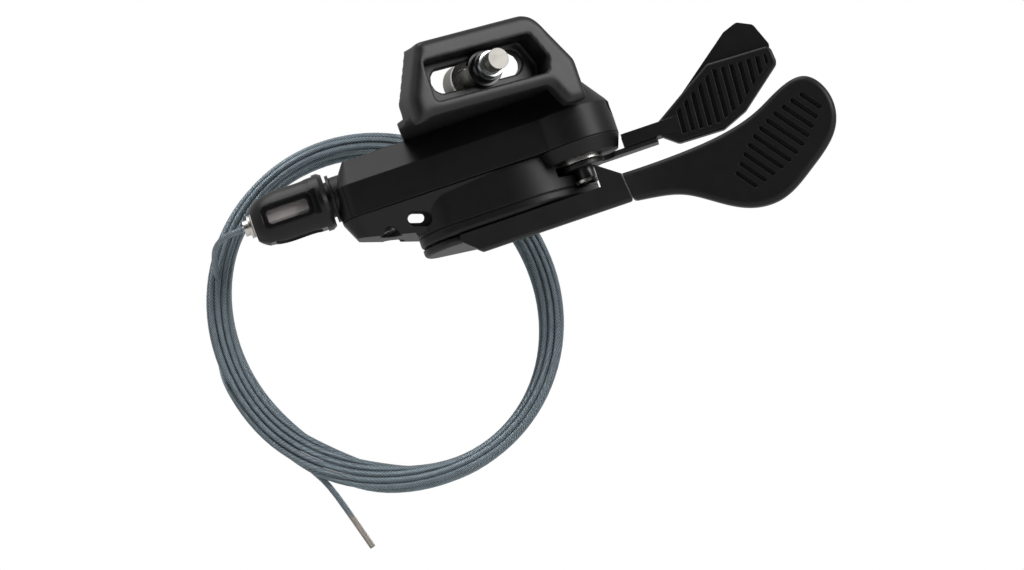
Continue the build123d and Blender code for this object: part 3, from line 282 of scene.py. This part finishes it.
@dataclass(frozen=True)
class Moulding:
    """Black moulded plastic with a spark-eroded grain."""

    name: str
    colour: Colour
    dusty: Colour
    roughness: tuple[float, float] = (0.36, 0.5)
    grain: float = 0.22 * MM
    grain_depth: float = 0.012 * MM
    grain_strength: float = 0.8
    cloud: float = 9 * MM
    handled: float = 2.2 * MM
    dust_contrast: float = 2.0
    edge: float = 0.35 * MM
    specular: float = 0.32

    def build(self) -> bpy.types.Material:
        """Return the material."""
        material = bpy.data.materials.new(self.name)
        bench = NodeBench(material)
        grain = bench.noise(self.grain, 2.0)
        cloud = bench.noise(self.cloud, 3.0)
        handled = bench.noise(self.handled, 4.0)
        dust = (cloud * 0.5 + handled * 0.5).power(self.dust_contrast)
        bench.finish(
            {
                "Base Color": bench.mix(dust, self.colour, self.dusty),
                "Roughness": bench.spread(handled * 0.6 + grain * 0.4, *self.roughness),
                "Specular IOR Level": self.specular,
                "Normal": bench.bump(grain, self.grain_depth, self.grain_strength, self.edge),
            }
        )
        return material


@dataclass(frozen=True)
class CoatedMetal:
    """Metal under a satin black coat, a little smoother where it has been handled."""

    name: str
    colour: Colour
    bright: Colour
    roughness: tuple[float, float] = (0.34, 0.5)
    edge: float = 0.45 * MM
    specular: float = 0.45
    peel: float = 0.35 * MM
    peel_depth: float = 0.01 * MM
    peel_strength: float = 0.7
    cloud: float = 6 * MM
    worn_contrast: float = 2.0

    def build(self) -> bpy.types.Material:
        """Return the material."""
        material = bpy.data.materials.new(self.name)
        bench = NodeBench(material)
        peel = bench.noise(self.peel, 1.5)
        cloud = bench.noise(self.cloud, 3.0)
        bench.finish(
            {
                "Base Color": bench.mix(cloud.power(self.worn_contrast), self.colour, self.bright),
                "Roughness": bench.spread(cloud * 0.5 + peel * 0.5, *self.roughness),
                "Specular IOR Level": self.specular,
                "Normal": bench.bump(peel, self.peel_depth, self.peel_strength, self.edge),
            }
        )
        return material


@dataclass(frozen=True)
class TurnedMetal:
    """Bare or plated metal with fine tool marks and a little stain."""

    name: str
    colour: Colour
    shade: Colour
    roughness: tuple[float, float] = (0.18, 0.36)
    edge: float = 0.12 * MM
    metallic: float = 1.0
    relief: float = 0.012 * MM
    relief_strength: float = 0.6
    marks: float = 0.5 * MM
    marks_stretch: tuple[float, float, float] = (6, 1, 1)
    stain: float = 1.6 * MM
    stain_contrast: float = 2.0

    def build(self) -> bpy.types.Material:
        """Return the material."""
        material = bpy.data.materials.new(self.name)
        bench = NodeBench(material)
        marks = bench.noise(self.marks, 3.0, self.marks_stretch)
        stain = bench.noise(self.stain, 4.0)
        bench.finish(
            {
                "Base Color": bench.mix(stain.power(self.stain_contrast), self.colour, self.shade),
                "Metallic": self.metallic,
                "Roughness": bench.spread(marks * 0.7 + stain * 0.3, *self.roughness),
                "Normal": bench.bump(marks, self.relief, self.relief_strength, self.edge),
            }
        )
        return material


@dataclass(frozen=True)
class StrandedCable:
    """Coated steel strand: fine wires laid round the cable, painted dark in the gaps between them as
    painted shade and light on their crowns as painted highlight, and a bare tip at its free end.
    """

    name: str
    # the colour the wire crowns reach: partly the coat's own colour, partly painted highlight
    coat: Colour
    # painted shade: the near-black colour of the gaps between the wires
    painted_groove_shade: Colour
    bare: Colour
    length: float
    lay: float = 8.4 * MM
    wires: int = 12
    tip_share: float = 0.0017
    tip_fade: float = 0.0004
    wear: float = 1.3 * MM
    contrast: float = 1.8
    metallic: tuple[float, float] = (0.5, 0.75)
    roughness: tuple[float, float] = (0.3, 0.45)
    groove: float = 0.11 * MM

    def build(self) -> bpy.types.Material:
        """Return the material."""
        material = bpy.data.materials.new(self.name)
        bench = NodeBench(material)
        on_strand = bench.add("ShaderNodeTexCoord").out("UV")
        split = bench.add("ShaderNodeSeparateXYZ", {}, {"Vector": on_strand})
        along = split.out("X")
        crossed = self.wires * self.length / self.lay
        phase = (split.out("Y") * float(self.wires)) + (along * crossed)
        wire = (phase * (2 * pi)).sine() * 0.5 + 0.5
        wear = bench.noise(self.wear, 3.0)
        # painted shade and highlight: the colour runs from the painted shade in the gaps between the wires
        # to the coat colour lit up on their crowns, with some random wear
        coat = bench.mix((wire * 0.85 + wear * 0.25).power(self.contrast), self.painted_groove_shade, self.coat)
        bare = (along - (1 - self.tip_share)) * (1 / self.tip_fade)
        bench.finish(
            {
                "Base Color": bench.mix(bare, coat, self.bare),
                "Metallic": bench.spread(wire, *self.metallic),
                "Roughness": bench.spread(wear, *self.roughness),
                "Normal": bench.bump(wire, self.groove),
            }
        )
        return material


FINISHES = {
    Surface.CASE: Moulding("case moulding", (0.004, 0.004, 0.0048, 1), (0.008, 0.008, 0.0092, 1)),
    Surface.LEVER_PAD: Moulding(
        "lever pad", (0.0035, 0.0035, 0.0042, 1), (0.007, 0.007, 0.008, 1), edge=0.25 * MM
    ),
    Surface.COATED_METAL: CoatedMetal("satin coat", (0.006, 0.006, 0.0066, 1), (0.011, 0.011, 0.012, 1)),
    Surface.KNOB: Moulding(
        "knob moulding", (0.0035, 0.0035, 0.0042, 1), (0.007, 0.007, 0.008, 1), (0.26, 0.4)
    ),
    Surface.BLACK_STEEL: CoatedMetal(
        "black steel", (0.008, 0.008, 0.009, 1), (0.016, 0.016, 0.0175, 1), (0.24, 0.38), 0.15 * MM, 0.6
    ),
    Surface.BRIGHT_STEEL: TurnedMetal("turned steel", (0.72, 0.7, 0.67, 1), (0.46, 0.43, 0.39, 1)),
    Surface.ZINC: TurnedMetal("zinc plate", (0.5, 0.54, 0.55, 1), (0.3, 0.31, 0.31, 1), (0.24, 0.42)),
    Surface.BOLT: TurnedMetal("bolt steel", (0.3, 0.29, 0.27, 1), (0.2, 0.19, 0.17, 1), (0.42, 0.55)),
    # painted reflection: the steel barrel gets a pale, mostly non-metallic colour so that it reads bright
    # in the dark window, in place of its own reflections
    Surface.BARREL: TurnedMetal(
        "barrel", (0.85, 0.8, 0.79, 1), (0.62, 0.55, 0.53, 1), (0.3, 0.42), metallic=0.3, relief=0.003 * MM
    ),
    Surface.SPRING: TurnedMetal("spring wire", (0.5, 0.5, 0.52, 1), (0.3, 0.3, 0.31, 1), (0.25, 0.4)),
    Surface.DRUM: Moulding("drum moulding", (0.52, 0.52, 0.5, 1), (0.62, 0.62, 0.6, 1), (0.4, 0.55)),
}

NODE_SURFACES = {
    Surface.CASE: ["upper_case", "lower_case", "tower_cover", "adjuster_bush", "port_plug"],
    Surface.LEVER_PAD: ["main_lever_pad", "release_lever_pad"],
    Surface.COATED_METAL: ["main_lever_plate", "mount_bracket", "release_plate"],
    Surface.KNOB: ["adjuster_knob", "click_washer"],
    Surface.BLACK_STEEL: ["bolt_nut", "axle_nut", "case_screws", "bracket_screws", "release_post"],
    Surface.BRIGHT_STEEL: [
        "main_axle",
        "axle_washer",
        "post_washer",
        "post_clip",
        "feed_pin",
        "stop_pin",
        "feed_pawl",
        "stop_pawl",
        "base_plate",
        "ratchet_wheel",
        "axle_spacer",
        "bolt_washer",
        "outlet_ferrule",
        "cable_head",
    ],
    Surface.BOLT: ["clamp_bolt"],
    Surface.BARREL: ["adjuster_barrel"],
    Surface.ZINC: ["bolt_ring"],
    Surface.SPRING: [
        "release_spring",
        "feed_pawl_spring",
        "stop_pawl_spring",
        "main_return_spring",
        "drum_spring",
        "cable_inner_run",
        "cable_lead",
        "cable_coil",
        "cable_tail",
    ],
    Surface.DRUM: ["cable_drum", "hub_bush"],
}


def dress(piece: bpy.types.Object, material: bpy.types.Material) -> None:
    """Give a piece one material.

    Args:
        piece: the object.
        material: the material.
    """
    piece.data.materials.clear()
    piece.data.materials.append(material)


# Camera, ground and lights


@dataclass
class PhotoView:
    """Where the photograph was taken from, read off its picture."""

    pixels_per_mm: float = 5.1
    origin_pixel: tuple[float, float] = (472.0, 75.0)
    image_size: tuple[int, int] = (1024, 570)
    below: float = radians(7)
    roll: float = radians(18.8)
    distance: float = 1.6
    sensor: float = 36.0
    nearest: float = 0.05
    farthest: float = 20.0

    def place_camera(self) -> bpy.types.Object:
        """Make the camera and return it."""
        away = Vector((0, cos(self.below), sin(self.below)))
        level_up = Vector((0, -sin(self.below), cos(self.below)))
        level_right = Vector((1, 0, 0))
        right = cos(self.roll) * level_right - sin(self.roll) * level_up
        up = sin(self.roll) * level_right + cos(self.roll) * level_up
        millimetre = MM / self.pixels_per_mm
        across = (self.image_size[0] / 2 - self.origin_pixel[0]) * millimetre
        down = (self.image_size[1] / 2 - self.origin_pixel[1]) * millimetre
        aim = across * right - down * up
        turn = Matrix((right, up, -away)).transposed().to_4x4()
        data = bpy.data.cameras.new("photo camera")
        data.sensor_width = self.sensor
        data.lens = self.sensor * self.distance / (self.image_size[0] * millimetre)
        data.clip_start, data.clip_end = self.nearest, self.farthest
        camera = bpy.data.objects.new("photo camera", data)
        bpy.context.scene.collection.objects.link(camera)
        camera.matrix_world = Matrix.Translation(aim - self.distance * away) @ turn
        bpy.context.scene.camera = camera
        return camera


@dataclass(frozen=True)
class Lamp:
    """A square lamp that looks at the part: its place and side in metres, its power in watts."""

    name: str
    place: tuple[float, float, float]
    size: float
    power: float

    def build(self) -> bpy.types.Object:
        """Make the lamp and return it."""
        data = bpy.data.lights.new(self.name, "AREA")
        data.size = self.size
        data.energy = self.power
        lamp = bpy.data.objects.new(self.name, data)
        bpy.context.scene.collection.objects.link(lamp)
        lamp.location = self.place
        lamp.rotation_euler = (-Vector(self.place)).to_track_quat("-Z", "Y").to_euler()
        return lamp


@dataclass
class Studio:
    """A pale floor and a light tent: bright at the sides and above, dark round the camera."""

    floor_drop: float = 0.28
    floor_size: float = 3.0
    floor_colour: Colour = (0.7, 0.7, 0.69, 1)
    fibre_colour: Colour = (0.82, 0.82, 0.81, 1)
    fibre: float = 4 * MM
    floor_roughness: tuple[float, float] = (0.7, 0.85)
    tent: float = 0.6
    camera_side: float = 0.02
    dark_from: float = 0.62
    dark_to: float = 0.95
    white: Colour = (1, 1, 1, 1)
    lamps: tuple[Lamp, ...] = (
        Lamp("top", (-0.1, -0.1, 0.9), 0.6, 3.4),
        Lamp("right", (0.85, -0.6, 0.25), 0.5, 6.2),
    )

    def build(self) -> None:
        """Make the floor, the world and the lamps."""
        self.make_floor()
        self.make_world()
        for lamp in self.lamps:
            lamp.build()

    def make_floor(self) -> None:
        """Lay the floor."""
        bpy.ops.object.select_all(action="DESELECT")
        bpy.ops.mesh.primitive_plane_add(size=self.floor_size, location=(0, 0, -self.floor_drop))
        floor = bpy.context.object
        floor.name = "studio_floor"
        material = bpy.data.materials.new("floor paper")
        bench = NodeBench(material)
        fibre = bench.noise(self.fibre, 4.0)
        bench.finish(
            {
                "Base Color": bench.mix(fibre, self.floor_colour, self.fibre_colour),
                "Roughness": bench.spread(fibre, *self.floor_roughness),
            }
        )
        dress(floor, material)

    def make_world(self) -> None:
        """Make a surround that looks white and lights the part as a tent does."""
        world = bpy.data.worlds.new("surround")
        bpy.context.scene.world = world
        bench = NodeBench(world)
        way = bench.add("ShaderNodeTexCoord").out("Generated")
        split = bench.add("ShaderNodeSeparateXYZ", {}, {"Vector": way})
        sockets = {
            "Value": split.out("Y") * -1.0,
            "From Min": self.dark_from,
            "From Max": self.dark_to,
            "To Min": self.tent,
            "To Max": self.camera_side,
        }
        tent = bench.add("ShaderNodeMapRange", {"interpolation_type": "SMOOTHSTEP"}, sockets).out("Result")
        path = bench.add("ShaderNodeLightPath")
        seen = path.out("Is Camera Ray") + path.out("Is Transmission Ray")
        strength = tent * (1.0 - seen) + seen
        ground = bench.add("ShaderNodeBackground", {}, {"Color": self.white, "Strength": strength})
        bench.add("ShaderNodeOutputWorld", {}, {"Surface": ground.out("Background")})


# Inner cable


@dataclass
class InnerCable:
    """The free part of the inner cable: a lead, a coil of nine turns and a straight tail.

    The turns lie round an oval, the section of the bundle, and each turn moves three places
    round it in a stretch at the lower left, where the strands are seen to cross. Angles are
    in degrees round the coil, from its right side, and places and sizes are in millimetres.
    """

    diameter: float = 1.2 * MM
    length: float = 2.0
    centre: tuple[float, float, float] = (-31.4, 34.6, -34.5)
    plane_turn: float = radians(17)
    outer_edge: float = 37.0
    turns: int = 9
    first_angle: float = 190.0
    last_angle: float = 217.0
    points_per_turn: int = 36
    steps_per_point: int = 3
    roundness: int = 2
    curve_order: int = 3
    places: int = 10
    first_place: float = 0.0
    advance: int = 3
    twist_start: float = 200.0
    twist_end: float = 285.0
    oval: float = 1.99
    least_depth: float = 0.95
    half_width: float = 2.12
    flatten: float = 0.6
    widest_angle: float = 205.0
    crossing: float = 0.4
    crossing_angle: float = 240.0
    crossing_power: int = 8
    section_steps: int = 72
    stray_turn: int = 4
    stray_angle: float = 100.0
    stray_reach: float = 44.0
    stray_depth: float = 0.8
    lead: tuple[tuple[float, float, float], ...] = (
        (-52.5, 11.2, -12.8),
        (-56.2, 11.2, -12.8),
        (-58.8, 13.6, -13.8),
        (-60.2, 19.2, -15.6),
        (-60.9, 25.0, -19.4),
        (-62.6, 28.6, -25.4),
        (-65.0, 27.8, -31.6),
        (-66.0, 26.2, -36.4),
    )
    tail: tuple[tuple[float, float, float], ...] = (
        (-56.2, 28.6, -59.2),
        (-53.4, 29.4, -63.4),
        (-51.2, 28.9, -70.2),
        (-48.7, 28.2, -79.0),
    )

    def place(self, turned: float) -> float:
        """Return how far round the bundle a strand lies, in places.

        Args:
            turned: how many turns of the coil have been wound.

        Returns:
            The place, which is the outermost at 0 and nearest the camera at a quarter of them.
        """
        whole, part = divmod(turned, 1.0)
        share = ramp(360.0 * part + 180.0, self.twist_start, self.twist_end)
        return self.first_place + self.advance * (whole + share * share * (3 - 2 * share))

    def half_width_at(self, angle: float) -> float:
        """Return half the bundle's width.

        Args:
            angle: the angle of the coil, in radians.

        Returns:
            The half width, in millimetres.
        """
        oval = self.flatten * cos(2 * (angle - radians(self.widest_angle)))
        near_crossing = max(0.0, cos(angle - radians(self.crossing_angle)))
        spread = self.crossing * near_crossing**self.crossing_power
        return self.half_width + oval + spread

    def in_bundle(self, half_width: float, place: float) -> tuple[float, float]:
        """Return a strand's place in the bundle's section.

        Args:
            half_width: half the width of the oval that the strands lie round.
            place: how far round it the strand lies, in places.

        Returns:
            How far outwards and how far towards the camera it lies, in millimetres.
        """
        depth = max(self.least_depth, sqrt(max(0.0, 2 * self.oval**2 - half_width**2)))
        turns = [2 * pi * step / self.section_steps for step in range(self.section_steps + 1)]
        rim = [Vector((half_width * cos(turn), depth * sin(turn))) for turn in turns]
        runs = [(second - first).length for first, second in zip(rim, rim[1:])]
        left = (place / self.places % 1.0) * sum(runs)
        for first, second, run in zip(rim, rim[1:], runs):
            if left <= run:
                return tuple(first.lerp(second, left / run))
            left -= run
        return tuple(rim[-1])

    def stray(self, turned: float, angle: float) -> float:
        """Return how far the one loose turn hangs inside the bundle at the top.

        Args:
            turned: how many turns of the coil have been wound.
            angle: the angle of the coil, in degrees.

        Returns:
            The distance, in millimetres.
        """
        apart = (angle - self.stray_angle + 180.0) % 360.0 - 180.0
        if int(turned) != self.stray_turn or abs(apart) > self.stray_reach:
            return 0.0
        return self.stray_depth * (0.5 + 0.5 * cos(pi * apart / self.stray_reach))

    def coil(self) -> list[Vector]:
        """Return the points of the coil, in millimetres."""
        along = Vector((cos(self.plane_turn), sin(self.plane_turn), 0))
        front = Vector((sin(self.plane_turn), -cos(self.plane_turn), 0))
        first = self.first_angle / 360.0 - 0.5
        last = self.turns + self.last_angle / 360.0 - 0.5
        steps = round((last - first) * self.points_per_turn)
        points = []
        for step in range(steps + 1):
            turned = first + (last - first) * step / steps
            degree = 180.0 + 360.0 * turned
            angle = radians(degree)
            outward = cos(angle) * along + sin(angle) * Vector((0, 0, 1))
            half_width = self.half_width_at(angle)
            radial, forward = self.in_bundle(half_width, self.place(turned))
            middle = self.outer_edge - self.diameter / MM / 2 - half_width
            reach = middle + radial - self.stray(turned, degree)
            points.append(Vector(self.centre) + reach * outward + forward * front)
        return points

    def build(self, material: bpy.types.Material) -> bpy.types.Object:
        """Make the cable.

        Args:
            material: its finish.

        Returns:
            The cable.
        """
        lead = [Vector(point) for point in self.lead]
        tail = [Vector(point) for point in self.tail]
        route = lead + self.coil() + tail
        data = bpy.data.curves.new("inner_cable", "CURVE")
        data.dimensions = "3D"
        spline = data.splines.new("NURBS")
        spline.points.add(len(route) - 1)
        for point, place in zip(spline.points, route):
            point.co = (*(place * MM), 1)
        spline.order_u = self.curve_order
        spline.use_endpoint_u = True
        data.resolution_u = self.steps_per_point
        data.bevel_depth = self.diameter / 2
        data.bevel_resolution = self.roundness
        data.use_fill_caps = True
        cable = bpy.data.objects.new("inner_cable", data)
        bpy.context.scene.collection.objects.link(cable)
        dress(cable, material)
        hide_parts("cable_lead", "cable_coil", "cable_tail")
        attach(cable, "housing")
        return cable


# Bracket


@dataclass
class SoftBracket:
    """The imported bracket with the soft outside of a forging.

    The slot, the rim of the window, the seat and the foot keep their form, because the bolt,
    the clamp and the case lie there; the outside is rounded, and most of all at its left end.
    Places are in millimetres along the slot, out of it towards the rider, and in height.
    """

    turn: float = radians(25)
    voxel: float = 0.32 * MM
    passes: int = 150
    window: tuple[float, float, float, float] = (-13.0, 13.0, -4.6, 3.8)
    rim: tuple[float, float] = (0.3, 1.6)
    back: tuple[float, float] = (1.2, 3.4)
    foot: tuple[float, float] = (-4.6, -3.2)
    foot_front: tuple[float, float] = (4.2, 5.2)
    end: tuple[float, float] = (12.5, 16.5)
    plain: float = 0.22
    rim_share: float = 0.03
    join: float = 0.001 * MM
    smooth_factor: float = 0.5

    def softness(self, place: Vector) -> float:
        """Return how much a place is smoothed.

        Args:
            place: the place, in metres.

        Returns:
            From 0 to 1.
        """
        along = (place.x * cos(self.turn) + place.y * sin(self.turn)) / MM
        out = (place.x * sin(self.turn) - place.y * cos(self.turn)) / MM
        height = place.z / MM
        left, right, bottom, top = self.window
        from_window = max(left - along, along - right, bottom - height, height - top)
        outside = self.plain + (1 - self.plain) * ramp(-along, *self.end)
        shown = max(self.rim_share, outside * ramp(from_window, *self.rim))
        return shown * ramp(out, *self.back) * max(ramp(height, *self.foot), ramp(out, *self.foot_front))

    def build(self, material: bpy.types.Material) -> bpy.types.Object:
        """Make the bracket.

        Args:
            material: its finish.

        Returns:
            The bracket.
        """
        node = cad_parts["mount_bracket"]
        data = node.data.copy()
        data.transform(node.matrix_world)
        bracket = bpy.data.objects.new("soft_bracket", data)
        bpy.context.scene.collection.objects.link(bracket)
        bpy.ops.object.select_all(action="DESELECT")
        bracket.select_set(True)
        bpy.context.view_layer.objects.active = bracket
        bpy.ops.object.mode_set(mode="EDIT")
        bpy.ops.mesh.select_all(action="SELECT")
        bpy.ops.mesh.remove_doubles(threshold=self.join)
        bpy.ops.object.mode_set(mode="OBJECT")
        remesh = bracket.modifiers.new("even mesh", "REMESH")
        remesh.mode = "VOXEL"
        remesh.voxel_size = self.voxel
        bpy.ops.object.modifier_apply(modifier=remesh.name)
        group = bracket.vertex_groups.new(name="soft")
        for vertex in bracket.data.vertices:
            group.add([vertex.index], self.softness(vertex.co), "REPLACE")
        smooth = bracket.modifiers.new("soft edges", "SMOOTH")
        smooth.factor = self.smooth_factor
        smooth.iterations = self.passes
        smooth.vertex_group = group.name
        bpy.ops.object.modifier_apply(modifier=smooth.name)
        bpy.ops.object.shade_smooth()
        bracket.vertex_groups.clear()
        dress(bracket, material)
        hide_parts("mount_bracket")
        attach(bracket, "housing")
        return bracket


# Frame pieces


class FramePieces:
    """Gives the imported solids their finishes."""

    def __init__(self, finishes: dict[Surface, bpy.types.Material]) -> None:
        """Keep the finishes.

        Args:
            finishes: the material of each surface.
        """
        self.finishes = finishes

    def build(self) -> None:
        """Dress every node."""
        for surface, nodes in NODE_SURFACES.items():
            for node in nodes:
                dress(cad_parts[node], self.finishes[surface])


def main() -> None:
    """Build the scene in order."""
    logging.basicConfig(level=logging.INFO)
    bpy.context.scene.view_settings.view_transform = "Standard"
    PhotoView().place_camera()
    cable = InnerCable()
    # the second colour is painted shade between the wires; the first is the coat, brightened as painted
    # highlight on the wire crowns
    strand = StrandedCable(
        "coated strand", (0.5, 0.61, 0.68, 1), (0.01, 0.017, 0.023, 1), (0.42, 0.38, 0.34, 1), cable.length
    )
    cable.build(strand.build())
    log.info("cable laid, %.3f m", cable.length)
    finishes = {surface: finish.build() for surface, finish in FINISHES.items()}
    SoftBracket().build(finishes[Surface.COATED_METAL])
    FramePieces(finishes).build()
    log.info("frame dressed")
    Studio().build()


if __name__ == "__main__":
    main()
